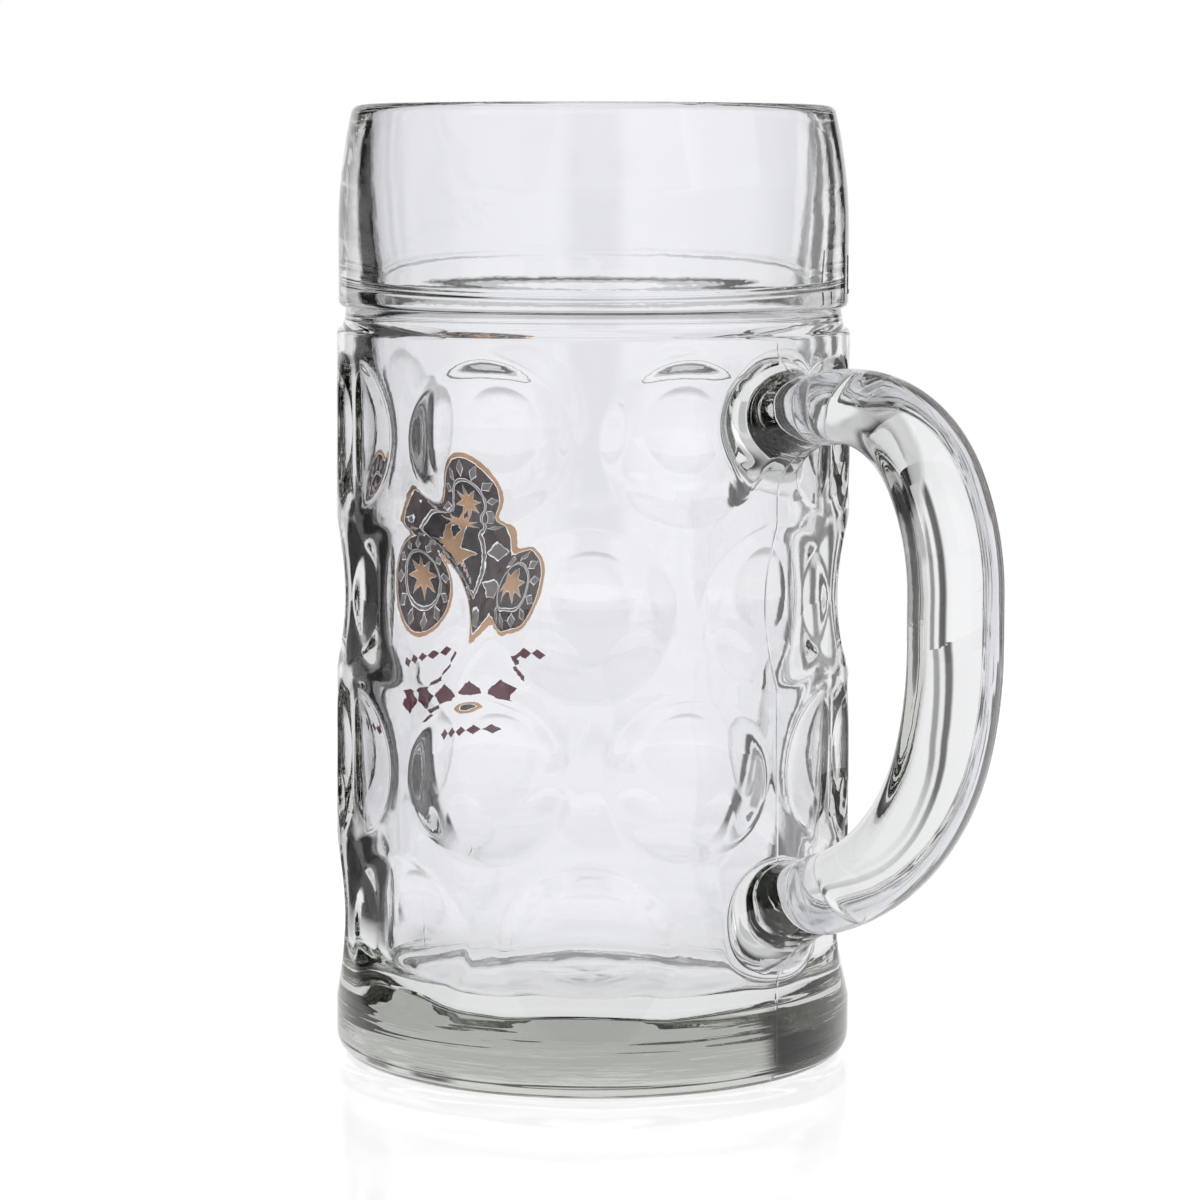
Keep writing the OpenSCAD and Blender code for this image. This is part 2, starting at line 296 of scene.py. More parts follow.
@dataclass(frozen=True)
class SodaLimeGlass:
    """Clear soda-lime container glass, blown or pressed in an iron mould and fire-polished.

    It is bright where it is thin, grey-green where it is thick, and its skin has the faint
    ripple of the mould.
    """

    name: str
    tint: str = "dadcd5"
    skin: str = "fcfcff"
    depth_mm: float = 85.0
    ior: float = 1.52
    ripple_mm: float = 1.6
    ripple_height: float = 0.006
    swell_mm: float = 9.0
    swell_height: float = 0.03
    lap_mm: tuple[float, float] = (70.0, 2.2)
    lap_height: float = 0.25
    lap_z: tuple[float, float] = (16.0, 12.5)
    seam_width: float = 0.45
    seam_height: float = 0.05
    seam_r: tuple[float, float] = (49.0, 49.4)
    seam_z: tuple[float, float] = (153.0, 151.0)

    def relief(self, tree: NodeTree) -> Node:
        """Builds up the relief of the skin from four kinds of mark.

        Args:
            tree: node tree that takes it.

        Returns:
            The node that gives the normal.
        """
        place = add_node(tree, "TexCoord").outputs["Object"]
        x, y, z = add_node(tree, "SeparateXYZ", {"Vector": place}).outputs
        # Mould ripple, about the grain of a fire-polished iron mould, and the slow swell of blowing
        ripple, swell = [
            add_node(tree, "TexNoise", {"Vector": place, "Scale": 1 / (size * MM), "Detail": 1.0})
            for size in (self.ripple_mm, self.swell_mm)
        ]
        # Laps of the gather, pressed out level along the foot
        across, apart = (1 / (size * MM) for size in self.lap_mm)
        level = add_node(tree, "Mapping", {"Vector": place, "Scale": (across, across, apart)})
        lap = add_node(tree, "TexNoise", {"Vector": level, "Scale": 1.0, "Detail": 2.0})
        # Mould seam in the plane of the handle, on the outer skin below the shoulder
        off, out = [add_node(tree, "Math", {0: side}, operation="ABSOLUTE") for side in (y, x)]
        ridge = add_node(tree, "MapRange", {
            "Value": off, "From Min": 0.0, "From Max": self.seam_width * MM, "To Min": 1.0, "To Max": 0.0,
        }, interpolation_type="SMOOTHSTEP")
        foot, outer, below = [
            add_node(tree, "MapRange", {"Value": value, "From Min": start * MM, "From Max": end * MM})
            for value, (start, end) in ((z, self.lap_z), (out, self.seam_r), (z, self.seam_z))
        ]
        laps = add_node(tree, "Math", {0: lap, 1: foot}, operation="MULTIPLY")
        there = add_node(tree, "Math", {0: outer, 1: below}, operation="MULTIPLY")
        seam = add_node(tree, "Math", {0: ridge, 1: there}, operation="MULTIPLY")
        under = {}
        for mark, height in (
            (ripple, self.ripple_height), (swell, self.swell_height),
            (laps, self.lap_height), (seam, self.seam_height),
        ):
            bump = add_node(tree, "Bump", {
                "Height": mark, "Distance": height * MM, "Strength": 1.0, **under})
            under = {"Normal": bump}
        return bump

    def material(self) -> Material:
        """Makes the material.

        Returns:
            Glass with a surface ripple, a faint mould seam and a tint that deepens with thickness.
        """
        material = bpy.data.materials.new(self.name)
        tree = empty_tree(material)
        shader = add_node(tree, "BsdfPrincipled", {
            "Base Color": linear(self.skin), "Roughness": 0.0, "IOR": self.ior,
            "Transmission Weight": 1.0, "Normal": self.relief(tree)})
        # Iron in the sand: this tint is what white light keeps after the stated depth of glass
        loss = [-math.log(kept) / (self.depth_mm * MM) for kept in linear(self.tint)[:3]]
        top = max(loss)
        depth = add_node(tree, "VolumeAbsorption", {
            "Color": (*[1 - part / top for part in loss], 1.0), "Density": top})
        add_node(tree, "OutputMaterial", {"Surface": shader, "Volume": depth})
        return material


@dataclass(frozen=True)
class FiredEnamel:
    """Ceramic colour: glass frit with pigment, screen printed and fired on.

    It looks like thin satin paint. A share of metal gives gold the glint of a thin lustre.
    """

    name: str
    colour: str
    shade: str
    roughness: float = 0.32
    metal: float = 0.0
    ior: float = 1.52
    gloss: float = 0.2
    cloud_mm: float = 2.4
    grit_mm: float = 0.35
    grit_height: float = 0.01
    grit_strength: float = 0.5

    def material(self) -> Material:
        """Makes the material.

        Returns:
            An opaque satin colour, slightly clouded, with the dots of the screen as faint grit.
        """
        material = bpy.data.materials.new(self.name)
        tree = empty_tree(material)
        place = add_node(tree, "TexCoord").outputs["Object"]
        cloud, grit = [
            add_node(tree, "TexNoise", {"Vector": place, "Scale": 1 / (size * MM), "Detail": detail})
            for size, detail in ((self.cloud_mm, 3.0), (self.grit_mm, 1.0))
        ]
        # A mix of colours takes them at inputs 6 and 7 and gives the result at output 2
        mix = add_node(tree, "Mix", {
            "Factor": cloud, 6: linear(self.colour), 7: linear(self.shade)}, data_type="RGBA")
        bump = add_node(tree, "Bump", {
            "Height": grit, "Distance": self.grit_height * MM, "Strength": self.grit_strength})
        shader = add_node(tree, "BsdfPrincipled", {
            "Base Color": mix.outputs[2], "Roughness": self.roughness, "Metallic": self.metal,
            "IOR": self.ior, "Specular IOR Level": self.gloss, "Normal": bump})
        add_node(tree, "OutputMaterial", {"Surface": shader})
        return material


@dataclass
class Wall:
    """The blown wall: plain outside and inside, with the dimples pressed into it."""

    foot_r: float = 54.59
    foot_h: float = 14.5
    foot_edge: float = 4.5
    shoulder_r: float = 53.9
    shoulder_z: float = 153.27
    dimple_z: tuple[float, ...] = (31.0, 64.92, 98.85, 132.77)
    columns: int = 8
    dimple_depth: float = 3.0
    dimple_r: float = 46.875
    dimple_wall: float = 5.4
    dimple_turn: float = 26.0
    dimple_reach: float = 24.0
    wall: float = 7.4
    edge: float = 0.34
    inner_edge: float = 1.4
    foot_soft: float = 1.6
    foot_soft_z: float = 25.0
    foot_soft_h: float = 9.0
    hollow: float = 0.35
    rounds: int = 4
    steepest: float = 0.99

    def plain(self, z: np.ndarray) -> np.ndarray:
        """Gives the outside radius without dimples at a height."""
        t = np.clip((z - self.foot_h) / (self.shoulder_z - self.foot_h), 0, 1)
        return self.foot_r + (self.shoulder_r - self.foot_r) * t

    def dimples(self) -> list[tuple[float, float]]:
        """Lists azimuth and height of each dimple. The lowest under the handle makes room for its pad."""
        pitch = 2 * math.pi / self.columns
        return [
            (pitch * (i + (k % 2) / 2), z)
            for k, z in enumerate(self.dimple_z) for i in range(self.columns) if (k, i) != (0, 0)
        ]

    def pressed(
        self, azimuth: np.ndarray, z: np.ndarray, radius: np.ndarray,
        extra: float, edge: float, hollow: float,
    ) -> np.ndarray:
        """Presses every dimple into a surface.

        Args:
            azimuth: angle of each point.
            z: height of each point.
            radius: plain radius at each point.
            extra: how far inside the outer skin the surface lies.
            edge: rounding of the dimples' edges.
            hollow: how much deeper than a level bar the middle is.

        Returns:
            The radius with dimples.
        """
        ball = self.dimple_r + extra
        edge = edge + self.foot_soft * np.clip((self.foot_soft_z - z) / self.foot_soft_h, 0, 1)
        result = radius.copy()
        for turn, height in self.dimples():
            centre = float(self.plain(np.array(height))) - self.dimple_depth + self.dimple_r
            off = (azimuth - turn + math.pi) % (2 * math.pi) - math.pi
            near = (np.abs(off) < math.radians(self.dimple_turn)) & (np.abs(z - height) < self.dimple_reach)
            flat = centre - np.sqrt(np.maximum(ball**2 - (z - height) ** 2, 1))
            bar = flat / np.cos(np.where(near, off, 0))
            deep = np.clip((radius - bar) / self.dimple_depth, 0, 1)
            bar = bar - hollow * deep * deep
            result = np.where(near, smooth_min(result, bar, edge), result)
        return result

    def outside(self, azimuth: np.ndarray, z: np.ndarray) -> np.ndarray:
        """Gives the outside radius with dimples at any azimuth and height."""
        azimuth, z = np.broadcast_arrays(np.asarray(azimuth, float), np.asarray(z, float))
        return self.pressed(azimuth, z, self.plain(z), 0, self.edge, self.hollow)

    def at(self, azimuth: np.ndarray, z: np.ndarray) -> np.ndarray:
        """Gives points on the outside skin as rows of x, y, z."""
        r = self.outside(azimuth, z)
        return upright(r, azimuth, np.broadcast_to(z, r.shape))

    def facing(self, y: np.ndarray, z: np.ndarray, side: float) -> np.ndarray:
        """Gives the azimuth at which the outside skin has a given y, found in a few rounds.

        Args:
            y: sideways place.
            z: height.
            side: 1 on the handle's side, -1 opposite to it.

        Returns:
            The azimuth of each point.
        """
        azimuth = np.arcsin(y / self.plain(z))
        for _ in range(self.rounds):
            turned = azimuth if side > 0 else math.pi - azimuth
            azimuth = np.arcsin(np.clip(y / self.outside(turned, z), -self.steepest, self.steepest))
        return azimuth if side > 0 else math.pi - azimuth


@dataclass
class Pad:
    """One moulded pad: it leaves the seam with the handle as an oval and runs out on the wall."""

    seam_x: float
    seam_z: float
    slope: float
    thickness: float
    top: float
    bottom: float
    half_width: float
    rows: tuple[int, int]
    width: float = 20.8
    power: float = 2.25
    crease: float = 0.7
    sink: float = 12.6
    spread: float = 0.62
    rise: float = 0.55
    apron_rows: tuple[float, ...] = (0.2, 0.4, 0.58, 0.74, 0.88, 1.0)
    cove_rows: tuple[float, ...] = (
        0.05, 0.1, 0.16, 0.22, 0.29, 0.36, 0.44, 0.52, 0.6, 0.68, 0.76, 0.84, 0.91, 0.96, 1.0)
    face_rows: tuple[float, ...] = (0.66, 0.33)

    def axis(self) -> np.ndarray:
        """Gives the direction from the pad out to the handle."""
        a = math.radians(self.slope)
        return np.array([math.cos(a), 0.0, math.sin(a)])

    def seam(self, turn: np.ndarray) -> np.ndarray:
        """Gives the oval of the seam, a little smaller than the handle so that a crease forms."""
        up = np.cross(self.axis(), SIDEWAYS)
        wide, high = oval(turn, self.width / 2 - self.crease, self.thickness / 2 - self.crease, self.power)
        return np.array([self.seam_x, 0.0, self.seam_z]) + high[:, None] * up + wide[:, None] * SIDEWAYS

    def patch(self, skin: Skin, wall: Wall, border: np.ndarray, azimuth: np.ndarray, z: np.ndarray) -> None:
        """Fills a window in the wall with the pad.

        Args:
            skin: mesh in the making.
            wall: the wall that carries the pad.
            border: indices round the window, counter-clockwise from outside.
            azimuth: azimuth of each of them.
            z: height of each of them.
        """
        # The pad's outline on the wall has one point for each point of the border
        reach = wall.foot_r * azimuth.max()
        up = (z - (z.max() + z.min()) / 2) / (z.max() - z.min()) * 2
        turn = np.arctan2(up, wall.foot_r * azimuth / reach)
        foot_y, high = oval(turn, self.half_width, (self.top - self.bottom) / 2, self.power)
        foot_z = (self.top + self.bottom) / 2 + high
        foot_a = wall.facing(foot_y, foot_z, 1)
        last = skin.stack((
            wall.at(azimuth + (foot_a - azimuth) * t, z + (foot_z - z) * t) for t in self.apron_rows
        ), border)
        # A cove runs from the wall's own surface round to the direction of the handle
        centre = np.array([self.seam_x, 0, self.seam_z])
        foot, seam, out = wall.at(foot_a, foot_z), self.seam(turn), self.axis()
        inward = centre - out * self.sink - foot
        normal = upright(np.ones_like(foot_a), foot_a, np.zeros_like(foot_a))
        inward -= (inward * normal).sum(1, keepdims=True) * normal
        inward /= np.linalg.norm(inward, axis=1, keepdims=True)
        lift = ((seam - foot) @ out)[:, None]
        side = np.linalg.norm(seam - out * lift - foot, axis=1, keepdims=True)
        first, second = foot + self.spread * side * inward, seam - self.rise * lift * out

        def cove(t: float) -> np.ndarray:
            """Gives the ring at a share of the way from the wall to the seam."""
            u = 1 - t
            return u**3 * foot + 3 * u * u * t * first + 3 * u * t * t * second + t**3 * seam

        last = skin.stack((cove(t) for t in self.cove_rows), last)
        skin.harden(last)
        last = skin.stack((centre + (seam - centre) * t for t in self.face_rows), last)
        skin.fan(last, centre, True)


@dataclass
class Vessel:
    """The glass body: foot, dimpled wall, groove, drinking band, lip, inside and the two pads."""

    wall: Wall = field(default_factory=Wall)
    height: float = 200.0
    coarse: int = 240
    push_up: float = 0.8
    push_rows: tuple[float, ...] = (8.0, 16.0, 24.0, 32.0, 37.0)
    push_run: float = 8.0
    foot_rows: tuple[float, ...] = (6.5, 8.5, 10.5, 12.0)
    groove_r: float = 52.2
    groove_z: float = 156.1
    cove_r: float = 3.2
    cove_angle: float = 62.0
    band_r: float = 53.5
    band_z: float = 158.0
    band_lip: float = 1.5
    band_rows: tuple[float, ...] = (161.5, 164.0, 167.0, 170.0)
    rim_r: float = 50.8
    rim_curve_h: float = 24.0
    lip_r: float = 2.1
    bottom: float = 13.5
    floor_r: float = 12.0
    floor_crown: float = 0.5
    floor_wave: float = 0.25
    floor_calm_r: float = 20.0
    ring_r: float = 45.6
    ring_z: tuple[float, ...] = (183.0, 164.5, 152.5)
    ring_power: float = 1.3
    ring_soft: float = 1.5
    ring_cut: float = 0.3
    ring_edge: float = 0.12
    bead_z: float = 163.4
    bead_half: float = 1.1
    bead: float = 0.65
    bead_swing: float = 0.3
    bead_turn: float = 0.4
    ring_tilt: float = 2.3
    ring_high: float = 136.5
    band_inner_r: float = 46.9
    band_inner_rows: tuple[float, ...] = (185.0, 184.0)
    seam_x: float = 66.63
    wall_rows: int = 154
    wall_start: float = 1.2
    window: int = 26

    def pads(self) -> list[Pad]:
        """Gives the upper and the lower pad."""
        return [
            Pad(self.seam_x, seam_z=139.33, slope=10, thickness=14.8,
                top=151.0, bottom=121.0, half_width=13.2, rows=(112, 153)),
            Pad(self.seam_x, seam_z=41.37, slope=20, thickness=16.6,
                top=47.6, bottom=20.0, half_width=13.8, rows=(1, 42)),
        ]

    def rim_z(self) -> float:
        """Gives the height of the lip's centre."""
        return self.height - self.lip_r

    def below_wall(self) -> list[tuple[float, float]]:
        """Lists the profile from the middle of the bottom to the wall."""
        w, flat = self.wall, self.push_rows[-1]
        push = [(r, self.push_up) for r in self.push_rows]
        for t in (0.2, 0.4, 0.6, 0.8, 1.0):
            push.append((flat + self.push_run * t, self.push_up * (1 - float(ease(np.array(t))))))
        edge = arc(w.foot_r - w.foot_edge, w.foot_edge, w.foot_edge, -90, 0, steps=8)
        return push + edge + [(w.foot_r, z) for z in self.foot_rows]

    def above_wall(self) -> list[tuple[float, float]]:
        """Lists the profile from the shoulder over the groove and the band to the lip."""
        top, turn = self.rim_z(), 180 + self.cove_angle
        points = arc(self.groove_r + self.cove_r, self.groove_z, self.cove_r, turn, 180, steps=7)[1:]
        small = self.band_lip
        points += arc(self.band_r - small, self.band_z + small, small, -90, 0, steps=6)
        points += [(self.band_r, z) for z in self.band_rows]
        drawn_in = self.band_r - self.rim_r
        for t in np.linspace(0, 1, 13):
            points.append((self.band_r - drawn_in * t * t, top - self.rim_curve_h * (1 - t)))
        return points + arc(self.rim_r - self.lip_r, top, self.lip_r, 0, 180, steps=14)[1:]

    def inside(self) -> list[tuple[float, float]]:
        """Lists the profile from the lip down the inside to the middle of the floor."""
        w, top = self.wall, self.rim_z()
        low, high = w.foot_r - w.wall, w.shoulder_r - w.wall
        lip = self.rim_r - 2 * self.lip_r
        points = []
        for t in np.linspace(0, 1, 7)[1:]:
            points.append((lip + (self.band_inner_r - lip) * float(ease(t)), top - t * self.rim_curve_h / 2))
        points += [(self.band_inner_r, z) for z in self.band_inner_rows]
        # The wall thickens down to a ring and thins again below it, with close rows round the bead
        above, crest, below = self.ring_z
        soft = crest + self.ring_soft
        bead = self.bead_z + self.bead_half * np.linspace(1, -1, 19)
        upper, lower = np.linspace(above, bead[0], 31)[:-1], np.linspace(bead[-1], below, 25)[1:]
        for z in np.concatenate([upper, bead, lower]):
            down = ((above - z) / (above - crest)) ** self.ring_power
            taper = self.band_inner_r + (self.ring_r - self.band_inner_r) * down
            thin = float(ease(np.clip((soft - z) / (soft - below), 0, 1)))
            rise = self.ring_r + (high - self.ring_r) * thin
            taper, rise = max(taper, self.ring_r - self.ring_cut), max(rise, self.ring_r)
            points.append((float(-smooth_min(np.array(-taper), np.array(-rise), self.ring_edge)), z))
        foot = self.bottom + self.floor_r
        for t in np.linspace(0, 1, 101)[1:]:
            points.append((high + (low - high) * t, below + (foot - below) * t))
        flat = low - self.floor_r
        points += arc(flat, foot, self.floor_r, 0, -90, steps=14)[1:]
        for r in flat * np.linspace(1, 0, 9)[1:-1]:
            points.append((r, self.bottom + self.floor_crown * float(ease(np.array(1 - r / flat)))))
        return points

    def ring(self, r: float, z: float, inner: bool = False) -> np.ndarray:
        """Gives one level ring of points.

        Args:
            r: plain radius.
            z: height.
            inner: whether it lies inside, where the dimples bulge in, the ring tilts and the floor sags.

        Returns:
            Rows of x, y, z.
        """
        azimuth = full_turn(self.coarse)
        radius, height = np.full(self.coarse, r), np.full(self.coarse, z)
        if inner:
            w = self.wall
            above, *_, below = self.ring_z
            middle, half = (above + below) / 2, (above - below) / 2
            near = np.clip(1 - ((z - middle) / half) ** 2, 0, 1) ** 2
            height = z + near * self.ring_tilt * np.cos(azimuth - math.radians(self.ring_high))
            bead = np.cos(np.pi / 2 * min(1.0, abs(z - self.bead_z) / self.bead_half)) ** 2
            swing = 1 - self.bead_swing + self.bead_swing * np.sin(2 * azimuth - self.bead_turn)
            radius = radius - bead * self.bead * swing
            calm = min(1.0, r / self.floor_calm_r)
            sag = np.clip((self.bottom + self.floor_r - z) / self.floor_r, 0, 1) * calm
            height += sag * self.floor_wave * (np.sin(3 * azimuth + 0.6) + 0.6 * np.sin(5 * azimuth + 2.0))
            radius = w.pressed(azimuth, np.full(self.coarse, z), radius, w.dimple_wall, w.inner_edge, 0.0)
        return upright(radius, azimuth, height)

    def dimpled_wall(self, skin: Skin, last: np.ndarray) -> np.ndarray:
        """Builds the dimpled wall with the two pads.

        Args:
            skin: mesh in the making.
            last: indices of the row below.

        Returns:
            Indices of the row at the shoulder.
        """
        fine, start = 2 * self.coarse, self.wall.foot_h - self.wall_start
        heights = np.linspace(start, self.wall.shoulder_z, self.wall_rows + 1)
        azimuth = full_turn(fine)
        grid = [skin.add(self.wall.at(azimuth, np.full(fine, z))) for z in heights]
        skin.weave(last, grid[0])
        windows = self.pads()
        for j in range(self.wall_rows):
            low, high = grid[j].tolist(), grid[j + 1].tolist()
            cut = any(p.rows[0] <= j < p.rows[1] for p in windows)
            for i in range(fine):
                away = i if i < fine / 2 else i - fine
                if not (cut and -self.window <= away < self.window):
                    k = (i + 1) % fine
                    skin.faces.append((low[i], low[k], high[k], high[i]))
        for pad in windows:
            steps = range(-self.window, self.window)
            lowest, highest = pad.rows
            walk = [(i, lowest) for i in steps] + [(self.window, j) for j in range(lowest, highest)]
            walk += [(-i, highest) for i in steps] + [(-self.window, j) for j in range(highest, lowest, -1)]
            border = np.array([grid[j][i % fine] for i, j in walk])
            turns = np.array([2 * math.pi * i / fine for i, _ in walk])
            pad.patch(skin, self.wall, border, turns, np.array([heights[j] for _, j in walk]))
        return grid[-1]

    def build(self, glass: Material) -> Object:
        """Makes the body.

        Args:
            glass: its material.

        Returns:
            The piece, which stands for the CAD body.
        """
        skin = Skin()
        last = skin.stack(self.ring(r, z) for r, z in self.below_wall())
        skin.fan(np.arange(self.coarse), np.array([0, 0, self.push_up]), False)
        last = self.dimpled_wall(skin, last)
        last = skin.stack((self.ring(r, z) for r, z in self.above_wall()), last)
        last = skin.stack((self.ring(r, z, z < self.ring_z[0]) for r, z in self.inside()), last)
        skin.fan(last, np.array([0, 0, self.bottom + self.floor_crown]), True)
        piece = skin.piece("mug_body", glass)
        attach(piece, BODY)
        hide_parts("glass_body")
        return piece


@dataclass
class Handle:
    """The pressed glass handle: an oval rod along arcs and straight runs."""

    reach: float = 109.8
    upper_t: float = 14.8
    lower_t: float = 16.6
    width: float = 20.8
    crown_z: float = 140.2
    crown_r: float = 25.7
    brow_r: float = 46.6
    grip_l: float = 10.4
    belly_r: float = 76.0
    heel_r: float = 47.0
    seam_x: float = 66.57
    slopes: tuple[float, float] = (10.0, 20.0)
    bends: tuple[float, float] = (28.0, 15.0)
    bend_rows: tuple[int, ...] = (14, 6, 4, 12)
    corners: int = 96
    fineness: int = 5
    power: float = 2.25
    crease: float = 0.7
    crease_l: float = 1.6
    crease_rows: tuple[float, ...] = (0.0, 0.04, 0.12, 0.25, 0.42, 0.62, 0.82, 1.0)
    least_step: float = 0.2
    far: float = 99.0

    def path(self) -> np.ndarray:
        """Walks the centreline from the upper seam to the lower one.

        Returns:
            Rows of x, z, the direction of the palm side in degrees, the share of the way from the
            upper thickness to the lower one, and the distance from the seam where it is near.
        """
        upper, lower = self.slopes
        brow, belly = self.bends
        crown_rows, brow_rows, belly_rows, heel_rows = self.bend_rows
        rad = math.radians
        grip_x = self.reach - (self.upper_t + self.lower_t) / 4
        brow_z = self.crown_z - self.crown_r * (1 - math.sin(rad(brow))) - self.brow_r * math.sin(rad(brow))
        belly_z = brow_z - self.grip_l
        crown_x = grip_x - (self.brow_r - self.crown_r) * (1 - math.cos(rad(brow))) - self.crown_r
        heel_x = grip_x - (self.belly_r - self.heel_r) * (1 - math.cos(rad(belly))) - self.heel_r
        heel_z = belly_z - (self.belly_r - self.heel_r) * math.sin(rad(belly))

        def bend(
            x: float, z: float, r: float, start: float, end: float, rows: int,
        ) -> list[tuple[float, ...]]:
            """Lists one arc's rows, each with the part of a coarse row that it takes."""
            turns, part = np.linspace(start, end, rows * self.fineness + 1)[1:], 1 / self.fineness
            return [(x + r * math.cos(rad(a)), z + r * math.sin(rad(a)), a, part) for a in turns]

        top_z = self.crown_z - self.crown_r * (1 - math.cos(rad(upper)))
        top = (crown_x - self.crown_r * math.sin(rad(upper)), top_z)
        end = (heel_x + self.heel_r * math.sin(rad(lower)), heel_z - self.heel_r * math.cos(rad(lower)))
        rows = [(*top, 90 + upper, 1.0)]
        rows += bend(crown_x, self.crown_z - self.crown_r, self.crown_r, 90 + upper, brow, crown_rows)
        rows += bend(grip_x - self.brow_r, brow_z, self.brow_r, brow, 0, brow_rows)
        rows += [(grip_x, belly_z, 0, 1.0)]
        rows += bend(grip_x - self.belly_r, belly_z, self.belly_r, 0, -belly, belly_rows)
        rows += bend(heel_x, heel_z, self.heel_r, -belly, lower - 90, heel_rows)
        # The straight runs to the seams, with close rows where the crease rounds in
        near = self.crease_l * np.array(self.crease_rows)

        def run(point: tuple, slope: float, palm: float, share: float) -> list[tuple[float, ...]]:
            """Lists one straight run's rows, outward from its seam."""
            length = (point[0] - self.seam_x) / math.cos(rad(slope))
            seam_z = point[1] - length * math.sin(rad(slope))
            steps = [s for s in near if s < length - self.least_step]
            steps += list(np.linspace(min(self.crease_l, length), length, 4)[1:-1])
            return [
                (self.seam_x + s * math.cos(rad(slope)), seam_z + s * math.sin(rad(slope)), palm, share, s)
                for s in steps
            ]

        shares = np.cumsum([r[3] for r in rows]) / (sum(r[3] for r in rows) + 1)
        path = run(top, upper, 90 + upper, 0.0)
        path += [(*r[:3], share, self.far) for r, share in zip(rows, shares)]
        path += run(end, lower, lower - 90, 1.0)[::-1]
        return np.array(path)

    def build(self, glass: Material) -> Object:
        """Makes the handle.

        Args:
            glass: its material.

        Returns:
            The piece, which stands for the CAD handle.
        """
        turn, path, rings = full_turn(self.corners), self.path(), []
        for x, z, palm, share, near in path:
            inset = self.crease * (1 - math.sqrt(1 - max(0.0, 1 - near / self.crease_l) ** 2))
            thick = (self.upper_t + (self.lower_t - self.upper_t) * share) / 2 - inset
            out = np.array([math.cos(math.radians(palm)), 0, math.sin(math.radians(palm))])
            wide, high = oval(turn, self.width / 2 - inset, thick, self.power)
            rings.append(np.array([x, 0, z]) + high[:, None] * out + wide[:, None] * SIDEWAYS)
        skin = Skin()
        last = skin.stack(rings)
        first = np.arange(self.corners)
        for row, (x, z, *_), outward in ((first, path[0], False), (last, path[-1], True)):
            skin.harden(row)
            skin.fan(row, np.array([x, 0, z]), outward)
        piece = skin.piece("mug_handle", glass)
        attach(piece, BODY)
        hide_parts("handle")
        return piece


class Colour(Enum):
    """The printed colours and the CAD nodes that they stand for."""

    GOLD = "print_gold"
    BROWN = "print_brown"
    GREY = "print_grey"
    BLACK = "print_black"
    RED = "print_red"


@dataclass
class Print:
    """A flat pattern of one colour, as loose patches of points and faces in its own plane."""

    points: list[np.ndarray] = field(default_factory=list)
    faces: list[tuple[int, ...]] = field(default_factory=list)
    count: int = 0

    def band(self, inner: np.ndarray, outer: np.ndarray, rows: int) -> None:
        """Fills the space between two closed outlines of equal length, counter-clockwise.

        Args:
            inner: points of the inner outline.
            outer: points of the outer outline.
            rows: steps from one to the other.
        """
        n = len(inner)
        for j in range(rows + 1):
            self.points.append(inner + (outer - inner) * j / rows)
        for j in range(rows):
            a = self.count + j * n
            for i in range(n):
                k = (i + 1) % n
                self.faces.append((a + i, a + i + n, a + k + n, a + k))
        self.count += (rows + 1) * n

    def disc(self, outline: np.ndarray, rows: int) -> None:
        """Fills an outline round its own middle.

        Args:
            outline: points, counter-clockwise.
            rows: steps from the middle outwards, at least two.
        """
        middle, start, n = outline.mean(0), self.count, len(outline)
        self.band(middle + (outline - middle) / rows, outline, rows - 1)
        self.points.append(middle[None])
        self.faces += [(start + i, start + (i + 1) % n, self.count) for i in range(n)]
        self.count += 1


def circle(radius: float, count: int = 144) -> np.ndarray:
    """Gives the points of a circle."""
    turn = full_turn(count)
    return np.stack([radius * np.cos(turn), radius * np.sin(turn)], -1)


def along(knots: np.ndarray, steps: int) -> np.ndarray:
    """Divides each side of a closed outline into steps."""
    parts = [a + (b - a) * k / steps for a, b in zip(knots, np.roll(knots, -1, 0)) for k in range(steps)]
    return np.array(parts)


def lozenge(long: float, high: float, place: tuple[float, float], steps: int) -> np.ndarray:
    """Gives a lozenge's outline.

    Args:
        long: its length along the first axis.
        high: its height along the second axis.
        place: its middle.
        steps: steps along each side.

    Returns:
        Its points.
    """
    knots = np.array([[long / 2, 0], [0, high / 2], [-long / 2, 0], [0, -high / 2]])
    return along(knots + place, steps)


